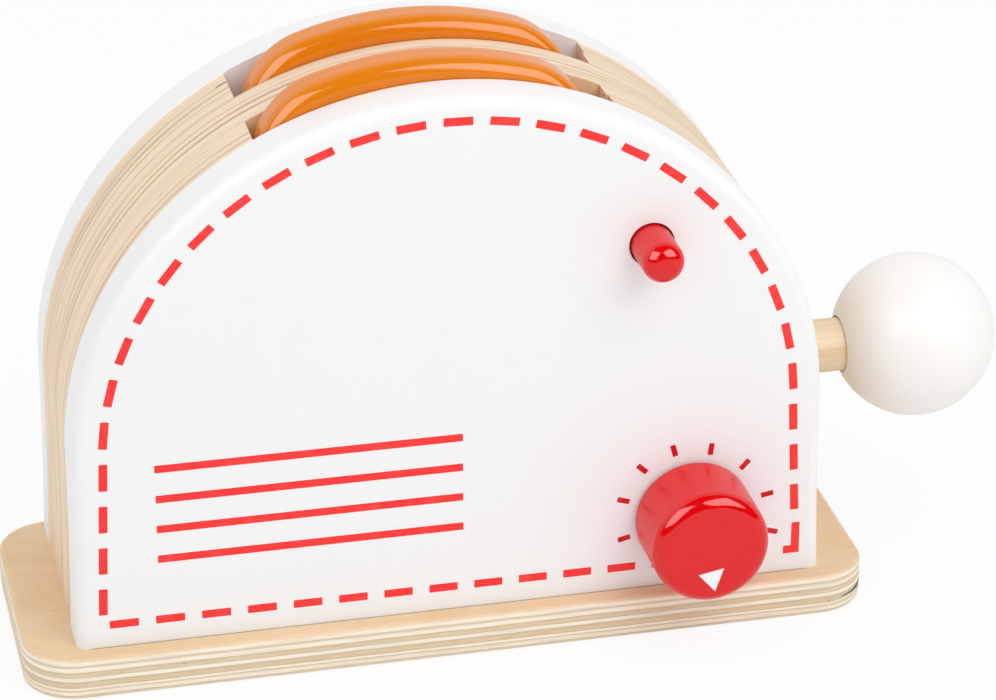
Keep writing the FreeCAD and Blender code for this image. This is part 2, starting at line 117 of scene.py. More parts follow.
class ToasterPrint(bpy.types.PropertyGroup):
    """Sizes and places of the marks printed on the front panel and the dial."""

    ink: length("Ink height", "How far the ink stands above the paint", 0.05)
    corner: length("Corner radius", "Rounding at the corners of a printed mark", 0.15)
    dash_long: length("Dash length", "Length of one dash of the outline", 6.9)
    dash_wide: length("Dash width", "Width of one dash of the outline", 2.05)
    dash_pitch: length("Arch dash pitch", "From one dash to the next round the arch", 10.87)
    dash_count: count("Arch dashes", "Dashes round the arch", 30)
    path_foot: length("Outline half width at the foot", "From the middle of the toy, at the first dash", 84.2)
    path_shoulder: length(
        "Outline half width at the shoulder", "From the middle of the toy, where the arch starts", 82.75
    )
    path_start: length("Outline start", "Height of the first dash's middle", 22.6)
    path_spring: length("Outline arch start", "Height at which the outline starts to curve", 57.3)
    path_rise: length("Outline arch rise", "From the start of the curve to its top", 78.75)
    row_left: length("Row start", "Middle of the first dash of the bottom row", -79.5)
    row_height: length("Row height", "Height of the bottom row", 16.4)
    row_pitch: length("Row pitch", "From one dash of the bottom row to the next", 10.95)
    row_count: count("Row dashes", "Dashes of the bottom row", 15)
    corner_side: length("Corner dash side", "Outer side of the angled dash", 85.5)
    corner_foot: length("Corner dash foot", "Lowest edge of the angled dash", 15.2)
    corner_tall: length("Corner dash height", "Upright leg of the angled dash", 8.3)
    corner_reach: length("Corner dash reach", "How far the short leg reaches past the upright one", 1.95)
    line_left: length("Line start", "Left end of the four lines", -70.9)
    line_right: length("Line end", "Right end of the four lines", 2.1)
    line_top: length("Top line height", "Height of the highest line", 56.0)
    line_pitch: length("Line pitch", "From one line down to the next", 7.85)
    line_wide: length("Line width", "Width of one line", 1.95)
    line_count: count("Lines", "Long lines on the panel", 4)
    tick_long: length("Tick length", "Length of one tick", 3.1)
    tick_wide: length("Tick width", "Width of one tick", 1.35)
    scale_right: length("Scale centre, across", "Middle of the ticks' circle, from the toy's middle", 59.0)
    scale_up: length("Scale centre, height", "Middle of the ticks' circle, above the table", 28.6)
    tick_places: each_tick(
        "Tick places",
        "Angle of each tick's middle, from level at the right",
        (193.9, 161.5, 133.5, 106.8, 77.8, 44.9, 11.1, -19.1),
    )
    tick_leans: each_tick(
        "Tick leans",
        "How far each tick is turned from pointing at the scale's middle",
        (-0.4, 0.8, 2.9, -2.1, 4.4, 2, -1.3, 2.5),
    )
    tick_reaches: bpy.props.FloatVectorProperty(
        name="Tick reaches",
        description="From the middle of the scale to each tick's middle",
        size=8,
        default=[reach * MM for reach in (18, 18.7, 19.2, 18.7, 17.7, 17.3, 18.4, 20.6)],
        unit="LENGTH",
    )
    pointer_size: length("Pointer size", "From the middle of the pointer to a corner", 3.68)
    pointer_sunk: length("Pointer depth", "From the dial's face to the middle of the pointer's paint", 0.1)
    pointer_down: length("Pointer drop", "From the dial's middle down to the pointer's middle", 7.14)
    pointer_left: length("Pointer offset", "From the dial's middle left to the pointer's middle", 0.1)
    pointer_turn: angle("Pointer turn", "How far the pointer is turned from straight down", -10.7)


class ToasterSpring(bpy.types.PropertyGroup):
    """Sizes of the spring behind the push button."""

    wire: length("Wire radius", "Radius of the spring wire", 0.3)
    radius: length("Coil radius", "From the spring's axis to the middle of the wire", 5.45)
    turns: bpy.props.FloatProperty(name="Turns", description="Turns of wire", default=3.5, min=1)
    shut: share("Squeezed length", "Share of the spring's length left when the button is pressed home", 0.44)


class ToasterColours(bpy.types.PropertyGroup):
    """Colours of the toy's woods, paints, inks and fittings."""

    panel_white: colour("Panel white", "Satin paint on the two panels", 243, 243, 243)
    ball_white: colour("Ball white", "Satin paint on the lever ball", 246, 244, 242)
    # On the ball this tint is also a painted reflection of the warm wood beside the dowel's seat.
    thin_paint_and_reflection: colour("Thin paint", "Where white paint lies thin on an edge", 236, 224, 210)
    toast_orange: colour("Toast orange", "Paint on the two slices", 226, 126, 2)
    # Painted sheen: the paler tone that a slice's rounded edge shows where it catches the light.
    toast_sheen: colour("Toast edge", "Where that paint is worn thin round the edge of a slice", 238, 158, 84)
    lacquer_red: colour("Lacquer red", "Lacquer on the dial and the push button", 223, 0, 10)
    print_red: colour("Print red", "Ink of the dashes and lines", 250, 56, 54)
    tick_red: colour("Tick red", "Ink of the ticks round the dial", 208, 8, 24)
    edge_pale: colour("Plywood edge, pale ply", "Plies of the base cut along their grain", 249, 239, 221)
    edge_dark: colour("Plywood edge, dark ply", "Plies of the base cut across their grain", 214, 187, 146)
    glue: colour("Plywood edge, glue line", "Thin lines between the plies of the base", 168, 134, 96)
    edge_grey: colour("Plywood edge, grey", "Weathered patches on the edge of the base", 206, 194, 172)
    board_pale: colour("Board edge", "Sanded edges of the boards between the panels", 243, 222, 194)
    board_line: colour("Board edge, glue line", "Glue lines and early wood in those edges", 182, 138, 100)
    veneer: colour("Plywood face", "Face veneer of the boards", 236, 208, 169)
    veneer_dark: colour("Plywood face grain", "Grain lines of the face veneer", 221, 186, 143)
    dowel: colour("Dowel wood", "Turned birch", 237, 216, 184)
    dowel_dark: colour("Dowel grain", "Grain lines of the turned birch", 218, 182, 134)
    # This dark also serves the painted contact shade where the panels stand on the base.
    pocket: colour("Pocket", "Bark pockets, cracks and knots in the wood", 66, 40, 26)
    steel: colour("Steel", "Pins, screws, washer and spring", 196, 197, 200)
    felt: colour("Felt", "Felt pad and washer", 112, 106, 100)


class ToasterStage(bpy.types.PropertyGroup):
    """The camera, the soft boxes and the floor."""

    camera_place: bpy.props.FloatVectorProperty(
        name="Camera place",
        description="Where the camera stands",
        size=3,
        default=(-173.46 * MM, -837.76 * MM, 476.02 * MM),
        subtype="TRANSLATION",
        unit="LENGTH",
    )
    camera_azimuth: angle("Camera azimuth", "How far round the toy the camera stands", -12.88)
    camera_elevation: angle("Camera elevation", "How far the camera looks down", 25.75)
    camera_roll: angle("Camera roll", "Tilt of the camera about its own line of sight", -0.07)
    camera_lens: bpy.props.FloatProperty(
        name="Lens",
        description="Focal length in millimetres",
        default=142.42,
        min=1,
        subtype="DISTANCE_CAMERA",
    )
    floor_size: length("Floor size", "Length of the floor's sides", 6000)
    floor_gap: length("Floor gap", "From the toy's foot down to the floor", 0.1)
    aim_height: length("Aim height", "Height of the point that the soft boxes face", 60)
    box_distance: length("Soft box distance", "From that point to each soft box", 900)
    fill: share("Fill light", "Even light from all round", 0.775)
    sweep: share("Sweep", "Brightness of the white backdrop, as shiny surfaces show it", 1.0)
    ceiling: share("Ceiling", "Brightness of the dark studio elsewhere, as shiny surfaces show it", 0.02)
    left_box: share("Left soft box", "Brightness of the soft box at the left", 0.68)
    right_box: share("Right soft box", "Brightness of the soft box at the front right", 2.1)
    shine: share("Shine", "Brightness of the two lamps that shiny surfaces show", 5.2)


SETTINGS = {
    "toaster_print": ToasterPrint,
    "toaster_spring": ToasterSpring,
    "toaster_colours": ToasterColours,
    "toaster_stage": ToasterStage,
}


# Shader maths -------------------------------------------------------------------------------------


class Reading:
    """A value that varies over a surface. Sums with it add Math nodes to the finish it belongs to."""

    def __init__(self, finish, socket):
        self.finish = finish
        self.socket = socket

    def math(self, operation, *others):
        return self.finish.math(operation, self, *others)

    def __add__(self, other):
        return self.math("ADD", other)

    def __radd__(self, other):
        return self.math("ADD", other)

    def __sub__(self, other):
        return self.math("SUBTRACT", other)

    def __rsub__(self, other):
        return self.finish.math("SUBTRACT", other, self)

    def __mul__(self, other):
        return self.math("MULTIPLY", other)

    def __rmul__(self, other):
        return self.math("MULTIPLY", other)

    def __truediv__(self, other):
        return self.math("DIVIDE", other)

    def __rtruediv__(self, other):
        return self.finish.math("DIVIDE", other, self)

    def __pow__(self, other):
        return self.math("POWER", other)

    def __abs__(self):
        return self.math("ABSOLUTE")

    def least(self, other):
        return self.math("MINIMUM", other)

    def most(self, other):
        return self.math("MAXIMUM", other)

    def rise(self, low, high):
        """0 up to low, 1 from high on, and smooth between them."""
        return self.finish.node(
            "MapRange", {"interpolation_type": "SMOOTHSTEP"}, {0: self, 1: low, 2: high, 3: 0, 4: 1}
        )


class Finish:
    """The node tree of a material or of the world, built one node at a time."""

    def __init__(self, owner):
        self.owner = owner
        owner.use_nodes = True
        self.tree = owner.node_tree
        self.tree.nodes.clear()

    def node(self, kind, settings=None, values=None, output=0):
        """Adds a node: first its settings and a ramp's stops, then its sockets' values or links."""
        made = self.tree.nodes.new("ShaderNode" + kind)
        for name, setting in (settings or {}).items():
            if name == "stops":
                self.set_stops(made.color_ramp, setting)
            else:
                setattr(made, name, setting)
        for name, value in (values or {}).items():
            socket = made.inputs[name]
            if isinstance(value, Reading):
                self.tree.links.new(value.socket, socket)
            elif socket.type == "RGBA":
                socket.default_value = (*value[:3], 1)
            else:
                socket.default_value = value
        if isinstance(output, tuple):
            return [Reading(self, made.outputs[each]) for each in output]
        return Reading(self, made.outputs[output]) if made.outputs else None

    def set_stops(self, ramp, stops):
        while len(ramp.elements) < len(stops):
            ramp.elements.new(1)
        for element, (place, value) in zip(ramp.elements, stops):
            element.position = place
            element.color = (value, value, value, 1) if isinstance(value, (int, float)) else (*value[:3], 1)

    def math(self, operation, *values):
        return self.node("Math", {"operation": operation}, dict(enumerate(values)))

    def ramp(self, value, *stops):
        return self.node("ValToRGB", {"stops": stops}, {0: value})

    def place(self):
        """Where a point lies on the toy, in millimetres."""
        coordinates = self.node("TexCoord", output=3)
        return self.node("VectorMath", {"operation": "SCALE"}, {0: coordinates, "Scale": 1 / MM})

    def axes(self, vector):
        return self.node("SeparateXYZ", values={0: vector}, output=(0, 1, 2))

    def facing(self):
        """Which way the surface faces, as three parts."""
        return self.axes(self.node("TexCoord", output=1))

    def stretched(self, vector, *amounts):
        """The vector times one amount, or times an amount for each of its parts."""
        amounts = amounts * 3 if len(amounts) == 1 else amounts
        return self.node("VectorMath", {"operation": "MULTIPLY"}, {0: vector, 1: amounts})

    def joined(self, *parts):
        return self.node("CombineXYZ", values=dict(enumerate(parts)))

    def clouds(self, vector, detail=2, roughness=0.5, distortion=0):
        """Random soft patches about one unit of the vector across, from 0 to 1."""
        values = {0: vector, "Scale": 1, "Detail": detail, "Roughness": roughness, "Distortion": distortion}
        return self.node("TexNoise", values=values)

    def blend(self, amount, under, over, mode="MIX"):
        settings = {"data_type": "RGBA", "blend_type": mode}
        return self.node("Mix", settings, {0: amount, 6: under, 7: over}, output=2)

    def surface(self, tone, roughness, relief, depth, steady=None):
        """Joins colour, roughness and relief to the shader, and sets its steady values on its own sockets."""
        normal = self.node("Bump", values={"Strength": 1, "Distance": depth * MM, "Height": relief})
        values = {"Base Color": tone, "Roughness": roughness, "Normal": normal, **(steady or {})}
        shader = self.node("BsdfPrincipled", values=values)
        self.node("OutputMaterial", values={"Surface": shader})
        return self.owner


def finish_named(name, make, *details):
    """The material of this name, made the first time it is asked for."""
    if name not in finishes:
        finishes[name] = make(Finish(bpy.data.materials.new(name)), *details)
    return finishes[name]


def colours():
    return bpy.context.scene.toaster_colours


def dress(material, *nodes):
    """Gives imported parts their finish."""
    for name in nodes:
        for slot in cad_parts[name].material_slots:
            slot.material = material


# Finishes -----------------------------------------------------------------------------------------


def face_veneer(wood, across, along, depth):
    """Colour and relief of a rotary-cut birch face: broad figure, fine grain lines and short pores."""
    tints = colours()
    figure = wood.clouds(wood.joined(along * 0.03, across * 0.09, depth * 0.1), detail=4, distortion=0.8)
    lines = wood.clouds(wood.joined(along * 0.05, across * 1.3, depth), detail=4, roughness=0.6)
    pores = wood.clouds(wood.joined(along * 0.3, across * 4, depth), detail=1).rise(0.62, 0.74)
    amount = (figure * 1.1 + lines * 0.5 - 0.45).most(0)
    tone = wood.blend(amount, tints.veneer, tints.veneer_dark)
    tone = wood.blend(pores * 0.15, tone, tints.veneer_dark)
    return tone, lines * 0.6 - pores


def board_plywood(wood, arch_start):
    """Birch plywood of the boards between the panels, edge on: glue lines along the outline, and a crack."""
    tints = colours()
    x, y, z = wood.axes(wood.place())
    above = (z - arch_start).most(0)
    arch_reach = 87
    run = above.math("ARCTAN2", abs(x)) * arch_reach + (z - arch_start).least(0)
    side = x.math("SIGN") * 9
    drift = wood.clouds(wood.joined(run * 0.03, y * 0.15, side), detail=2)
    layer = y + (drift - 0.5) * 0.9
    width, depth = 42, 0.55
    stops = []
    for line, strength in (
        (-18.2, 0.55), (-15.4, 0.6), (-9, 0.3), (-4, 0.75), (-1.2, 1),
        (1.5, 0.6), (6, 0.35), (10.5, 0.6), (13.2, 0.6), (15.8, 0.65),
    ):
        stops += [(line - depth, 0), (line, strength), (line + depth, 0.06)]
    lines = wood.ramp(layer / width + 0.5, *((line / width + 0.5, strength) for line, strength in stops))
    fade = z.rise(arch_start - 20, arch_start + 30) * 0.5 + 0.5
    uneven = wood.clouds(wood.joined(run * 0.06, y * 0.7, side + 3), detail=3)
    bands = wood.clouds(wood.joined(run * 0.012, y * 0.42, side), detail=3, roughness=0.6)
    streaks = wood.clouds(wood.joined(run * 0.035, y * 2.4, side), detail=4, roughness=0.65)
    fibres = wood.clouds(wood.joined(run * 0.35, y * 9, side), detail=2)
    amount = lines * (uneven * 1.8) * fade + bands.rise(0.42, 0.75) * 0.32
    amount = amount + streaks.rise(0.5, 0.8) * 0.5 + (fibres - 0.5) * 0.16
    edge = wood.blend(amount.most(0).least(1), tints.board_pale, tints.board_line)
    knots = wood.clouds(wood.joined(run * 0.3, y * 0.6, side + 4), detail=1).rise(0.77, 0.82)
    edge = wood.blend(knots * 0.5, edge, tints.pocket)
    crack_x, crack_y = CRACK_PLACE
    crack = (1 - (abs(y - crack_y) * 2).rise(0.3, 0.8)) * (1 - abs(x - crack_x).rise(0.9, 1.6))
    crack = crack * z.rise(100, 101)
    edge = wood.blend(crack * 0.85, edge, tints.pocket)
    face, grain = face_veneer(wood, z, x, y)
    flat = abs(wood.facing()[1]).rise(0.6, 0.9)
    relief = (1 - flat) * (fibres * 0.5 - amount * 0.6 - crack * 4) + flat * grain
    roughness = 0.62 - flat * 0.1 + (fibres - 0.5) * 0.12
    return wood.surface(wood.blend(flat, edge, face), roughness, relief, 0.06)


def base_plywood(wood, top):
    """Birch plywood of the base: plies along its edge, a honey face, dark lines where the panels stand on it
    (part glue stain, part painted contact shade) and a pocket at one end.
    """
    tints = colours()
    x, y, z = wood.axes(wood.place())
    wander = wood.clouds(wood.joined(x * 0.06, y * 0.06, z * 0.2), detail=3)
    height = z + (wander - 0.5) * 0.5
    plies = wood.ramp(
        height / top,
        *((level / top, pale) for level, pale in (
            (0, 0.42), (0.8, 0.46), (0.95, 0.25), (1.2, 0.8), (1.9, 0.82), (2.1, 0.45), (2.4, 0.45),
            (2.6, 0.92), (3.0, 0.92), (3.15, 0.1), (3.4, 0.22), (4.3, 0.18), (4.55, 0), (4.8, 0.95),
            (5.65, 0.95), (5.85, 0.12), (6.1, 0.3), (6.8, 0.2), (7.0, 0), (7.2, 1), (8.1, 1),
            (8.3, 0.45), (8.85, 0.4), (9.05, 0.92), (9.6, 0.88), (9.85, 0.6),
        )),
    )
    dark_ply = 1 - plies.rise(0.2, 0.5)
    patches = wood.clouds(wood.joined(x * 0.1, y * 0.1, z * 1.3), detail=3, roughness=0.6)
    streaks = wood.clouds(wood.joined(x * 0.22, y * 0.22, z * 4), detail=3, roughness=0.65)
    fibres = wood.clouds(wood.joined(x * 0.8, y * 0.8, z * 9), detail=2)
    pores = wood.clouds(wood.joined(x * 0.9, y * 0.9, z * 5), detail=2).rise(0.55, 0.7) * dark_ply
    pale = plies + (patches - 0.5) * 0.5 + (streaks - 0.5) * 0.6 + (fibres - 0.5) * 0.2 - pores * 0.25
    edge = wood.blend(pale.most(0).least(1), tints.edge_dark, tints.edge_pale)
    glue = []
    for level in GLUE_LINES:
        glue += [((level - 0.16) / top, 0), (level / top, 1), ((level + 0.16) / top, 0)]
    edge = wood.blend(wood.ramp(height / top, *glue) * (patches * 0.9), edge, tints.glue)
    grey = wood.clouds(wood.joined(x * 0.05, y * 0.05, z * 0.9 + 20), detail=3).rise(0.45, 0.7)
    edge = wood.blend(grey * 0.35, edge, tints.edge_grey)
    speck = wood.clouds(wood.joined(x * 0.3, y * 0.3, z * 1.6 + 40), detail=2).rise(0.72, 0.78) * dark_ply
    turn = (POCKET_MIDDLE[1] - y).math("ARCTAN2", x - POCKET_MIDDLE[0])
    ragged = (streaks - 0.5) * 0.9 + (fibres - 0.5) * 0.5
    gape = (1 - turn.rise(math.radians(25), math.radians(72))) * 0.5
    pocket = (1 - (abs(z - POCKET_MIDDLE[2]) + ragged).rise(gape, gape + 0.14)) * (gape * 20).least(1)
    pocket = pocket * x.rise(80, 85)
    edge = wood.blend((speck * 0.5).most(pocket * 0.9), edge, tints.pocket)
    face, grain = face_veneer(wood, y, x, z)
    panel_face = 33
    # Dark line on the base where the panels stand on it: part glue stain, part painted contact shade.
    glue_stain_and_contact_shade = (1 - (abs(y) - panel_face).rise(0.2, 0.5)) * (1 - abs(x).rise(86.5, 88.5))
    face = wood.blend(glue_stain_and_contact_shade * 0.6, face, tints.pocket)
    flat = z.rise(9.8, 9.9).most((wood.facing()[2] * -1).rise(0.8, 0.97))
    relief = (1 - flat) * (pale * 0.6 - pores * 0.6 - pocket * 4) + flat * grain
    roughness = 0.58 - flat * 0.12 + (fibres - 0.5) * 0.12
    return wood.surface(wood.blend(flat, edge, face), roughness, relief, 0.06)


def turned_wood(wood, grain_axis):
    """Turned birch with its grain along one axis, 0, 1 or 2."""
    tints = colours()
    place = wood.place()
    broad, slow, quick, dots = [0.16] * 3, [1.3] * 3, [6.0] * 3, [4.5] * 3
    broad[grain_axis], slow[grain_axis], quick[grain_axis], dots[grain_axis] = 0.01, 0.05, 0.3, 0.45
    figure = wood.clouds(wood.stretched(place, *broad), detail=2)
    streaks = wood.clouds(wood.stretched(place, *slow), detail=4, roughness=0.6)
    fibres = wood.clouds(wood.stretched(place, *quick), detail=2)
    pores = wood.clouds(wood.stretched(place, *dots), detail=1).rise(0.64, 0.74)
    ends = abs(wood.facing()[grain_axis]).rise(0.7, 0.95)
    amount = figure.rise(0.4, 0.65) * 0.45 + streaks.rise(0.4, 0.75) * 0.4 + (fibres - 0.5) * 0.2
    amount = amount + pores * 0.2 + ends * 0.35
    tone = wood.blend(amount.most(0), tints.dowel, tints.dowel_dark)
    return wood.surface(tone, 0.42 + fibres * 0.14 + ends * 0.12, fibres * 0.6 - pores, 0.04)


def panel_paint(paint):
    """White satin paint, rolled on: faint orange peel, a few specks, and a thinner coat on sanded edges."""
    tints = colours()
    place = paint.place()
    peel = paint.clouds(place, detail=3, roughness=0.55)
    swell = paint.clouds(paint.stretched(place, 0.05), detail=2)
    specks = paint.clouds(paint.stretched(place, 1.6), detail=0).rise(0.79, 0.84)
    round_edge = 1 - paint.math("ABSOLUTE", abs(paint.facing()[1]) * 2 - 1).rise(0.55, 0.98)
    thin = round_edge * peel * 0.06 + (swell - 0.5).most(0) * 0.05 + specks * 0.05
    tone = paint.blend(thin, tints.panel_white, tints.thin_paint_and_reflection)
    roughness = 0.46 + swell * 0.08 - specks * 0.1
    return paint.surface(tone, roughness, peel + swell * 3, 0.02, {"Specular IOR Level": 0.18})


def ball_paint(paint, seat):
    """White satin paint on the turned ball: faint turning rings, and a painted reflection of the warm wood by
    the dowel's seat.
    """
    tints = colours()
    place = paint.place()
    x = paint.axes(place)[0]
    peel = paint.clouds(paint.stretched(place, 0.8), detail=3)
    swell = paint.clouds(paint.stretched(place, 0.06), detail=2)
    rings = paint.clouds(paint.stretched(place, 1.4, 0.02, 0.02), detail=2)
    # Painted reflection: a warm tint on the side of the ball nearest the dowel's seat, which faces the wooden
    # toaster.
    painted_reflection_by_seat = 1 - x.rise(seat + 0.5, seat + 9)
    thin = painted_reflection_by_seat * 0.3 + (swell - 0.45).most(0) * 0.12
    tone = paint.blend(thin, tints.ball_white, tints.thin_paint_and_reflection)
    relief = peel * 0.5 + rings * 0.5
    return paint.surface(tone, 0.34 + swell * 0.1, relief, 0.02, {"Specular IOR Level": 0.22})


def toast_paint(paint):
    """Orange gloss paint, brushed on: fine brush lines, slight runs, and a painted sheen round the edge."""
    tints = colours()
    place = paint.place()
    brush = paint.clouds(paint.stretched(place, 0.06, 1.2, 1.2), detail=3)
    swell = paint.clouds(paint.stretched(place, 0.09), detail=3)
    peel = paint.clouds(paint.stretched(place, 0.9), detail=2)
    rim = 1 - abs(paint.facing()[1]).rise(0.35, 0.8)
    shadow = (swell - 0.4).most(0) * 0.35 + (brush - 0.5).most(0) * 0.2
    tone = paint.blend(shadow, tints.toast_orange, (0.86, 0.6, 0.3), mode="MULTIPLY")
    # Painted sheen: a paler orange over the rounded rim of each slice, away from its flat faces.
    tone = paint.blend(rim * brush * 0.3, tone, tints.toast_sheen)
    relief = peel * 0.6 + brush * 0.4
    return paint.surface(tone, 0.1 + swell * 0.05, relief, 0.015, {"Specular IOR Level": 0.42})


def red_lacquer(paint):
    """Glossy red lacquer on turned wood: slight runs and pin points, and a duller coat on the turned side."""
    tints = colours()
    place = paint.place()
    swell = paint.clouds(paint.stretched(place, 0.13), detail=2)
    peel = paint.clouds(paint.stretched(place, 0.7), detail=2)
    points = paint.clouds(paint.stretched(place, 2.2), detail=0).rise(0.78, 0.82)
    turned = 1 - abs(paint.facing()[1]).rise(0.02, 0.3)
    tone = paint.blend((swell - 0.4).most(0) * 0.4, tints.lacquer_red, (0.88, 0.5, 0.7), mode="MULTIPLY")
    roughness = 0.07 + swell * 0.03 + points * 0.05 + turned * 0.26
    return paint.surface(tone, roughness, swell * 2 + peel * 0.25, 0.02)


def screen_ink(paint, tint):
    """Screen-printed ink: satin, a touch uneven in strength, with a few pinholes towards the white."""
    place = paint.place()
    cover = paint.clouds(paint.stretched(place, 0.35), detail=3)
    pinholes = paint.clouds(paint.stretched(place, 3), detail=1).rise(0.78, 0.84)
    light = (cover - 0.5).most(0) * 0.12 + pinholes * 0.12
    tone = paint.blend(light, tint, colours().panel_white)
    return paint.surface(tone, 0.42 + cover * 0.1, cover - pinholes, 0.01, {"Specular IOR Level": 0.2})


def bright_steel(metal):
    """Zinc-plated steel: fine turning lines and slight tarnish."""
    place = metal.place()
    lines = metal.clouds(metal.stretched(place, 9, 1.5, 9), detail=2)
    tarnish = metal.clouds(metal.stretched(place, 0.4), detail=3)
    tone = metal.blend(tarnish.rise(0.5, 0.8) * 0.4, colours().steel, shade(150, 146, 140))
    return metal.surface(tone, 0.24 + tarnish * 0.2, lines, 0.01, {"Metallic": 1})


def wool_felt(cloth):
    """Pressed wool felt: matted fibres, speckled light and dark."""
    place = cloth.place()
    mat = cloth.clouds(cloth.stretched(place, 2.5), detail=4, roughness=0.7, distortion=2)
    specks = cloth.clouds(cloth.stretched(place, 6), detail=2)
    tone = cloth.blend(mat.rise(0.3, 0.7) * 0.5, colours().felt, shade(150, 144, 136))
    tone = cloth.blend((specks - 0.5).most(0), tone, shade(70, 66, 62))
    return cloth.surface(tone, 0.92 + (mat - 0.5) * 0.1, mat, 0.3, {"Sheen Weight": 0.3})


def studio_floor(floor):
    """Matt white. The camera sees it lit to white under the toy's shadow, and shiny surfaces partly so."""
    camera, mirrored, through = floor.node("LightPath", output=SIGHT)
    card = floor.node("BsdfDiffuse", values={"Color": shade(246, 246, 246)})
    glow = floor.node("Emission", values={"Color": (1, 1, 1), "Strength": 1})
    shown = floor.node("MixShader", values={0: 0.85, 1: card, 2: glow})
    mixed = floor.node("MixShader", values={0: camera.most(through).most(mirrored * 0.3), 1: card, 2: shown})
    floor.node("OutputMaterial", values={"Surface": mixed})
    return floor.owner


def studio_light(sky, stage):
    """Even light. Shiny surfaces show a white backdrop behind the toy and a dark studio elsewhere."""
    camera, mirrored, through = sky.node("LightPath", output=SIGHT)
    y, z = sky.axes(sky.node("TexCoord", output=0))[1:]
    behind = 1 - z.math("ARCTAN2", y).rise(math.radians(64), math.radians(80))
    level = stage.ceiling + behind * (stage.sweep - stage.ceiling)
    plain = camera.most(through)
    seen = stage.fill + mirrored * (level - stage.fill) + plain * (1 - stage.fill)
    light = sky.node("Background", values={"Color": (1, 1, 1), "Strength": seen})
    sky.node("OutputWorld", values={"Surface": light})


# Making pieces ------------------------------------------------------------------------------------


def edit(kind):
    bpy.ops.object.mode_set(mode="EDIT")
    bpy.ops.mesh.select_mode(type=kind)
    bpy.ops.mesh.select_all(action="DESELECT")


def pick(piece, parts, wanted):
    """Selects those of a piece's faces, edges or verts for which wanted is true."""
    shape = bmesh.from_edit_mesh(piece.data)
    chosen = [part for part in getattr(shape, parts) if wanted(part)]
    if not chosen:
        raise RuntimeError(f"{piece.name}: none of its {parts} is where it should be")
    for part in chosen:
        part.select_set(True)
    bmesh.update_edit_mesh(piece.data)


def done(piece):
    """Back to object mode, with the piece's place, turn and size in its mesh."""
    bpy.ops.object.mode_set(mode="OBJECT")
    bpy.ops.object.transform_apply(location=True, rotation=True, scale=True)
    return piece


def soften_mark(piece, corner):
    """Rounds the corners of a printed mark and thins its ink at the rim."""
    edit("EDGE")
    pick(piece, "edges", lambda line: abs((line.verts[0].co - line.verts[1].co).normalized().y) > 0.9)
    bpy.ops.mesh.bevel(offset=corner, segments=3, affect="EDGES")
    bpy.ops.mesh.select_mode(type="FACE")
    bpy.ops.mesh.select_all(action="DESELECT")
    pick(piece, "faces", lambda face: face.normal.y < -0.9)
    bpy.ops.mesh.inset(thickness=corner * 0.6, depth=0.01 * MM)


def printed_bar(wide, tall, face):
    """One straight mark in the middle of the panel, half sunk into the paint."""
    marks = bpy.context.scene.toaster_print
    bpy.ops.object.select_all(action="DESELECT")
    bpy.ops.mesh.primitive_cube_add(size=1, location=(0, face, 0), scale=(wide, 2 * marks.ink, tall))
    bar = done(bpy.context.object)
    soften_mark(bar, marks.corner)
    return done(bar)


def repeated(name, pattern, places):
    """Copies a mark to each place, each copy with its own mesh, and joins the copies into one piece."""
    bpy.ops.object.select_all(action="DESELECT")
    for place in places:
        copy = pattern.copy()
        copy.data = pattern.data.copy()
        copy.data.transform(place)
        bpy.context.collection.objects.link(copy)
        copy.select_set(True)
        bpy.context.view_layer.objects.active = copy
    bpy.data.objects.remove(pattern)
    bpy.ops.object.join()
    piece = bpy.context.object
    piece.name = piece.data.name = name
    return piece


def moved(across, up, turn=0.0):
    """A move over the panel's face, after a turn in that face, as seen from the front."""
    return Matrix.Translation((across, 0, up)) @ Matrix.Rotation(-turn, 4, "Y")


def outline(marks):
    """The line that the dashes follow: up the left side, over the arch and down the right side."""
    foot = Vector((marks.path_foot, marks.path_start))
    shoulder = Vector((marks.path_shoulder, marks.path_spring))
    drop = (foot - shoulder) * 1.2
    steps = 400
    arch = [math.pi * step / steps for step in range(steps + 1)]
    curve = [Vector((-shoulder.x * math.cos(t), shoulder.y + marks.path_rise * math.sin(t))) for t in arch]
    return [Vector((-foot.x, foot.y)), *curve, shoulder + drop]


def along(line, distance):
    """The place this far along a line of points, and the direction that the line has there."""
    for start, end in zip(line, line[1:]):
        step = end - start
        if distance <= step.length:
            return start + step * (distance / step.length), math.atan2(step.y, step.x)
        distance -= step.length
    raise RuntimeError("the dashes run past the end of their line")


def print_piece(piece, body, material):
    """Gives a printed piece its ink and the body that it rides on."""
    piece.data.materials.clear()
    piece.data.materials.append(material)
    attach(piece, body)


# Operators ----------------------------------------------------------------------------------------


class FinishBase(bpy.types.Operator):
    """Finishes the plywood base"""

    bl_idname = "toaster.finish_base"
    bl_label = "Base Plate"

    def execute(self, context):
        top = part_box("base_plate")[1].z / MM
        dress(finish_named("base_plywood", base_plywood, top), "base_plate")
        return {"FINISHED"}


class FinishPanels(bpy.types.Operator):
    """Paints the front and back panels white"""

    bl_idname = "toaster.finish_panels"
    bl_label = "Painted Panels"

    def execute(self, context):
        dress(finish_named("panel_paint", panel_paint), "front_panel", "back_panel")
        return {"FINISHED"}


class FinishBoards(bpy.types.Operator):
    """Finishes the plywood boards between the panels"""

    bl_idname = "toaster.finish_boards"
    bl_label = "Slot Boards"

    def execute(self, context):
        arch_start = context.scene.toaster_print.path_spring / MM
        dress(finish_named("board_plywood", board_plywood, arch_start), *CORE_BOARDS)
        return {"FINISHED"}


class FinishToasts(bpy.types.Operator):
    """Paints the two slices of toast"""

    bl_idname = "toaster.finish_toasts"
    bl_label = "Toast Slices"

    def execute(self, context):
        dress(finish_named("toast_orange", toast_paint), "toast_front", "toast_rear")
        return {"FINISHED"}


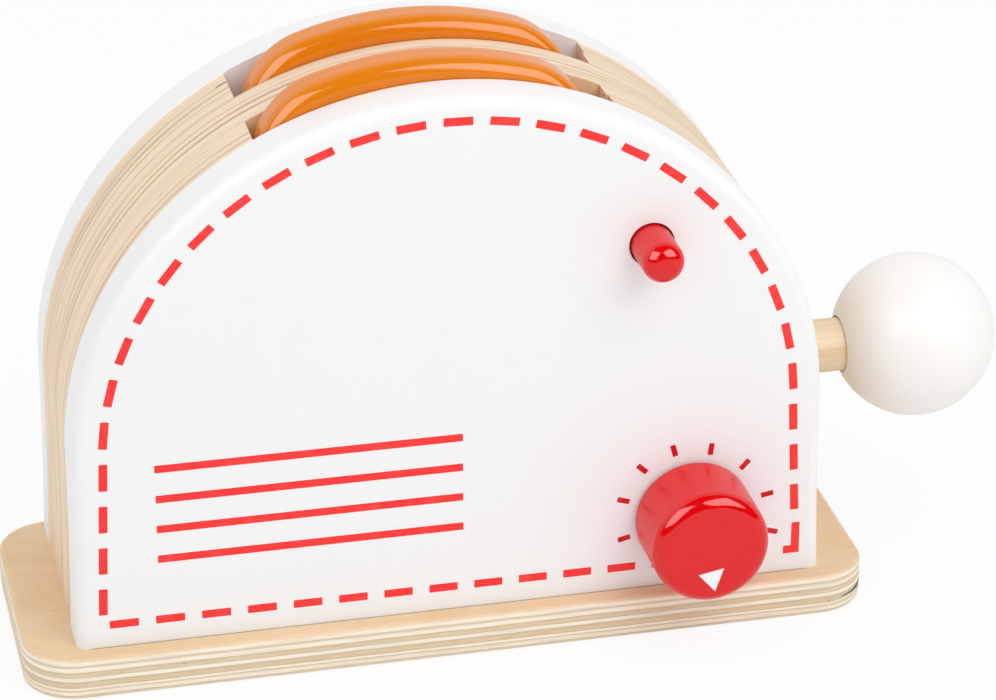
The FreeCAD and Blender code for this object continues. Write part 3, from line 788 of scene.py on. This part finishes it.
class FinishLever(bpy.types.Operator):
    """Finishes the lever: its dowel, ball, pin, spacers and rest pad"""

    bl_idname = "toaster.finish_lever"
    bl_label = "Lever"

    def execute(self, context):
        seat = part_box("lever_ball")[0].x / MM
        dress(finish_named("wood_along_x", turned_wood, 0), "lever_dowel")
        dress(finish_named("ball_paint", ball_paint, seat), "lever_ball")
        dress(finish_named("bright_steel", bright_steel), "lever_pin")
        dress(finish_named("wood_along_y", turned_wood, 1), "lever_spacers")
        dress(finish_named("wool_felt", wool_felt), "lever_rest_pad")
        return {"FINISHED"}


class FinishLift(bpy.types.Operator):
    """Finishes the lift block and the rods that carry the slices"""

    bl_idname = "toaster.finish_lift"
    bl_label = "Lift"

    def execute(self, context):
        dress(finish_named("wood_along_z", turned_wood, 2), "lift_block")
        dress(finish_named("wood_along_y", turned_wood, 1), "lift_rod_left", "lift_rod_right")
        return {"FINISHED"}


class FinishDial(bpy.types.Operator):
    """Lacquers the dial and finishes its washers and screw"""

    bl_idname = "toaster.finish_dial"
    bl_label = "Dial"

    def execute(self, context):
        dress(finish_named("gloss_red", red_lacquer), "dial_knob")
        dress(finish_named("wool_felt", wool_felt), "dial_felt")
        dress(finish_named("bright_steel", bright_steel), "dial_washer", "dial_screw")
        return {"FINISHED"}


class FinishButton(bpy.types.Operator):
    """Lacquers the push button and finishes its collar"""

    bl_idname = "toaster.finish_button"
    bl_label = "Push Button"

    def execute(self, context):
        dress(finish_named("gloss_red", red_lacquer), "push_button")
        dress(finish_named("wood_along_y", turned_wood, 1), "button_collar")
        return {"FINISHED"}


class WindSpring(bpy.types.Operator):
    """Winds the spring behind the push button"""

    bl_idname = "toaster.wind_spring"
    bl_label = "Button Spring"

    def execute(self, context):
        sizes = context.scene.toaster_spring
        low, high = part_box("button_spring")
        button_low, button_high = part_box("push_button")
        middle = (button_low + button_high) / 2
        start = Vector((middle.x, low.y + sizes.wire, middle.z))
        bpy.ops.object.select_all(action="DESELECT")
        bpy.ops.mesh.primitive_circle_add(vertices=12, radius=sizes.wire, location=start)
        coil = context.object
        coil.name = coil.data.name = "button_spring_coil"
        edit("VERT")
        bpy.ops.mesh.select_all(action="SELECT")
        bpy.ops.transform.translate(value=(sizes.radius, 0, 0))
        bpy.ops.object.mode_set(mode="OBJECT")
        steps_each_turn = 28
        winding = coil.modifiers.new("winding", "SCREW")
        winding.axis = "Y"
        winding.angle = math.tau * sizes.turns
        winding.screw_offset = high.y - low.y - 2 * sizes.wire
        winding.steps = winding.render_steps = round(steps_each_turn * sizes.turns)
        bpy.ops.object.modifier_apply(modifier="winding")
        edit("VERT")
        bpy.ops.mesh.select_non_manifold()
        bpy.ops.mesh.fill_holes(sides=0)
        bpy.ops.mesh.select_all(action="SELECT")
        bpy.ops.mesh.normals_make_consistent(inside=False)
        done(coil)
        bpy.ops.object.shade_smooth_by_angle(angle=math.radians(40))
        coil.data.materials.append(finish_named("bright_steel", bright_steel))
        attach(coil, "root")
        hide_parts("button_spring")
        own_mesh(coil)
        return {"FINISHED"}


class FinishFixings(bpy.types.Operator):
    """Finishes the dowels and screws that hold the toy together"""

    bl_idname = "toaster.finish_fixings"
    bl_label = "Dowels and Screws"

    def execute(self, context):
        dress(finish_named("wood_along_y", turned_wood, 1), "assembly_dowels")
        dress(finish_named("bright_steel", bright_steel), "base_screws")
        return {"FINISHED"}


class PrintOutline(bpy.types.Operator):
    """Prints the dashes that follow the front panel's outline"""

    bl_idname = "toaster.print_outline"
    bl_label = "Dash Outline"

    def execute(self, context):
        marks = context.scene.toaster_print
        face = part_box("front_panel")[0].y
        corner = self.corner_dash(marks, face)
        dash = printed_bar(marks.dash_long, marks.dash_wide, face)
        line = outline(marks)
        row = [marks.row_left + marks.row_pitch * number for number in range(marks.row_count)]
        places = [moved(across, marks.row_height) for across in row]
        for number in range(marks.dash_count):
            spot, turn = along(line, marks.dash_pitch * number)
            places.append(moved(spot.x, spot.y, turn))
        dashes = repeated("dash_outline", dash, places)
        corner.select_set(True)
        bpy.ops.object.join()
        ink = finish_named("red_ink", screen_ink, colours().print_red)
        print_piece(dashes, "root", ink)
        return {"FINISHED"}

    def corner_dash(self, marks, face):
        """The angled dash at the lower right: an upright leg and a short one to the left."""
        wide = marks.dash_wide
        middle = (marks.corner_side - wide / 2, face, marks.corner_foot + marks.corner_tall / 2)
        bpy.ops.object.select_all(action="DESELECT")
        size = (wide, 2 * marks.ink, marks.corner_tall)
        bpy.ops.mesh.primitive_cube_add(size=1, location=middle, scale=size)
        piece = done(bpy.context.object)
        edit("FACE")
        bpy.ops.mesh.select_all(action="SELECT")
        knee = marks.corner_foot + wide
        bpy.ops.mesh.bisect(plane_co=(0, 0, knee), plane_no=(0, 0, 1))
        bpy.ops.mesh.select_all(action="DESELECT")
        pick(piece, "faces", lambda side: side.normal.x < -0.9 and side.calc_center_median().z < knee)
        reach = {"value": (-marks.corner_reach, 0, 0)}
        bpy.ops.mesh.extrude_region_move(TRANSFORM_OT_translate=reach)
        return done(piece)


class PrintLines(bpy.types.Operator):
    """Prints the four long lines"""

    bl_idname = "toaster.print_lines"
    bl_label = "Front Lines"

    def execute(self, context):
        marks = context.scene.toaster_print
        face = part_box("front_panel")[0].y
        line = printed_bar(marks.line_right - marks.line_left, marks.line_wide, face)
        across = (marks.line_left + marks.line_right) / 2
        heights = [marks.line_top - marks.line_pitch * number for number in range(marks.line_count)]
        places = [moved(across, height) for height in heights]
        lines = repeated("front_lines", line, places)
        print_piece(lines, "root", finish_named("red_ink", screen_ink, colours().print_red))
        return {"FINISHED"}


class PrintTicks(bpy.types.Operator):
    """Prints the ticks round the dial"""

    bl_idname = "toaster.print_ticks"
    bl_label = "Dial Ticks"

    def execute(self, context):
        marks = context.scene.toaster_print
        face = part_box("front_panel")[0].y
        tick = printed_bar(marks.tick_long, marks.tick_wide, face)
        places = []
        for turn, lean, reach in zip(marks.tick_places, marks.tick_leans, marks.tick_reaches):
            across = marks.scale_right + reach * math.cos(turn)
            up = marks.scale_up + reach * math.sin(turn)
            places.append(moved(across, up, turn + lean))
        ticks = repeated("dial_ticks", tick, places)
        print_piece(ticks, "root", finish_named("tick_ink", screen_ink, colours().tick_red))
        return {"FINISHED"}


class PrintPointer(bpy.types.Operator):
    """Prints the white pointer on the dial"""

    bl_idname = "toaster.print_pointer"
    bl_label = "Dial Pointer"

    def execute(self, context):
        marks = context.scene.toaster_print
        low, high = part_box("dial_knob")
        middle = (low + high) / 2
        place = (middle.x - marks.pointer_left, low.y + marks.pointer_sunk, middle.z - marks.pointer_down)
        bpy.ops.object.select_all(action="DESELECT")
        bpy.ops.mesh.primitive_cylinder_add(
            vertices=3,
            radius=marks.pointer_size,
            depth=2 * marks.ink,
            location=place,
            rotation=(math.pi / 2, math.pi + marks.pointer_turn, 0),
        )
        pointer = done(context.object)
        pointer.name = pointer.data.name = "dial_pointer"
        soften_mark(pointer, marks.corner)
        done(pointer)
        ink = finish_named("white_ink", screen_ink, colours().panel_white)
        print_piece(pointer, "dial", ink)
        return {"FINISHED"}


class SetStage(bpy.types.Operator):
    """Sets the floor, the soft boxes, the surroundings and the camera"""

    bl_idname = "toaster.set_stage"
    bl_label = "Stage"

    def execute(self, context):
        stage = context.scene.toaster_stage
        bpy.ops.object.select_all(action="DESELECT")
        self.lay_floor(stage)
        self.soft_box("left_soft_box", stage, (-88, 43), (0.96, 0.45), stage.left_box).visible_glossy = False
        self.soft_box("right_soft_box", stage, (32, 49), (0.6, 0.62), stage.right_box).visible_glossy = False
        self.soft_box("left_shine", stage, (-55, 37), (0.86, 0.7), stage.shine).visible_diffuse = False
        self.soft_box("right_shine", stage, (39, 37), (0.76, 0.7), stage.shine).visible_diffuse = False
        context.scene.world = bpy.data.worlds.new("studio")
        studio_light(Finish(context.scene.world), stage)
        self.place_camera(context.scene, stage)
        context.scene.view_settings.view_transform = "Standard"
        return {"FINISHED"}

    def lay_floor(self, stage):
        bpy.ops.mesh.primitive_plane_add(size=stage.floor_size, location=(0, 0, -stage.floor_gap))
        floor = bpy.context.object
        floor.name = floor.data.name = "studio_floor"
        edit("VERT")
        bpy.ops.mesh.select_all(action="SELECT")
        bpy.ops.mesh.bevel(offset=stage.floor_size / 8, segments=8, affect="VERTICES")
        done(floor)
        floor.data.materials.append(finish_named("floor_white", studio_floor))

    def soft_box(self, name, stage, direction, size, brightness):
        """A soft box at an azimuth and elevation from the toy. A brightness of 1 looks white."""
        azimuth, elevation = (math.radians(turn) for turn in direction)
        level = math.cos(elevation)
        back = Vector((math.sin(azimuth) * level, -math.cos(azimuth) * level, math.sin(elevation)))
        place = Vector((0, 0, stage.aim_height)) + back * stage.box_distance
        aim = (-back).to_track_quat("-Z", "Y").to_euler()
        bpy.ops.object.light_add(type="AREA", location=place, rotation=aim)
        box = bpy.context.object
        box.name = box.data.name = name
        box.data.shape = "RECTANGLE"
        box.data.size, box.data.size_y = size
        box.data.energy = brightness * size[0] * size[1] * math.pi
        box.visible_camera = False
        return box

    def place_camera(self, scene, stage):
        turn = Euler((math.pi / 2 - stage.camera_elevation, 0, stage.camera_azimuth)).to_matrix()
        turn @= Matrix.Rotation(stage.camera_roll, 3, "Z")
        bpy.ops.object.camera_add(location=stage.camera_place, rotation=turn.to_euler())
        camera = bpy.context.object
        camera.name = camera.data.name = "toaster_camera"
        camera.data.sensor_width = 36
        camera.data.lens = stage.camera_lens
        scene.camera = camera


STEPS = (
    FinishBase,
    FinishPanels,
    FinishBoards,
    FinishToasts,
    FinishLever,
    FinishLift,
    FinishDial,
    FinishButton,
    WindSpring,
    FinishFixings,
    PrintOutline,
    PrintLines,
    PrintTicks,
    PrintPointer,
    SetStage,
)


class TOASTER_PT_pieces(bpy.types.Panel):
    """The toy's pieces, in the order that they are made"""

    bl_idname = "TOASTER_PT_pieces"
    bl_label = "Toy Toaster"
    bl_space_type = "VIEW_3D"
    bl_region_type = "UI"
    bl_category = "Toaster"

    def draw(self, context):
        for step in STEPS:
            self.layout.operator(step.bl_idname)


def register():
    for made in (*SETTINGS.values(), *STEPS, TOASTER_PT_pieces):
        bpy.utils.register_class(made)
    for name, group in SETTINGS.items():
        setattr(bpy.types.Scene, name, bpy.props.PointerProperty(type=group))


def unregister():
    for name in SETTINGS:
        delattr(bpy.types.Scene, name)
    for made in reversed((*SETTINGS.values(), *STEPS, TOASTER_PT_pieces)):
        bpy.utils.unregister_class(made)


def main():
    register()
    for step in STEPS:
        getattr(bpy.ops.toaster, step.bl_idname.partition(".")[2])()


if __name__ == "__main__":
    main()
